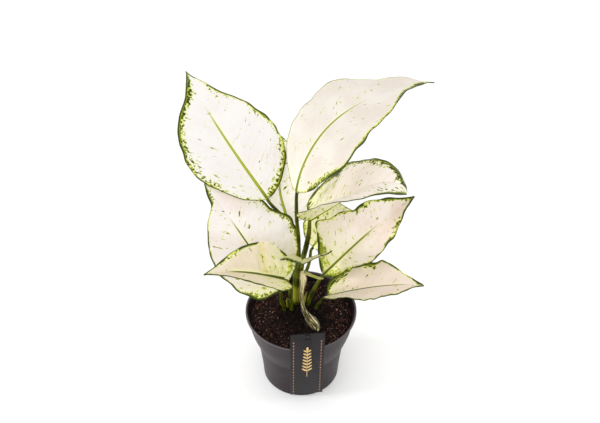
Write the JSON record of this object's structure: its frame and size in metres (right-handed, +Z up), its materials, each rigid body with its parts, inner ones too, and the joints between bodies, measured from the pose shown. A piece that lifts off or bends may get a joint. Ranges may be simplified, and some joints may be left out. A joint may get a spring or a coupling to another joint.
{
  "type": "potted chinese evergreen",
  "caption": "Potted chinese evergreen with cream, green-edged pointed leaves on green petioles, rooted in peat in a round flared nursery pot with a blank hanging label.",
  "frame": {"origin": "on the pot's axis, in the plane of the stand ring under the pot", "axes": "+Z is up along the pot's axis, -Y is the front with the label, +X is to the right seen from the front"},
  "size_m": [0.2534, 0.2253, 0.353],
  "materials": {
    "leaf": "satin living leaf, cream with thin green margins and a yellow-green midrib",
    "stem": "smooth green living stem",
    "shoot": "smooth pale green sheath",
    "pot": "semi-matt moulded polypropylene, charcoal",
    "label": "semi-matt printed plastic card, dark grey",
    "soil": "coarse moist peat"
  },
  "bodies": {
    "root": {"leaf_upper_left": "leaf", "leaf_upper_right": "leaf", "leaf_mid_left": "leaf", "leaf_low_left": "leaf", "leaf_right_upper": "leaf", "leaf_right_mid": "leaf", "leaf_right_low": "leaf", "leaf_back_left": "leaf", "leaf_back_right": "leaf", "leaf_young": "leaf", "leaf_drooping": "leaf", "stem_main": "stem", "petiole_mid_left": "stem", "petiole_low_left": "stem", "petiole_right_mid": "stem", "petiole_right_low": "stem", "shoot_left": "shoot", "shoot_right": "shoot", "pot": "pot", "plant_label": "label", "soil": "soil"}
  },
  "joints": []
}
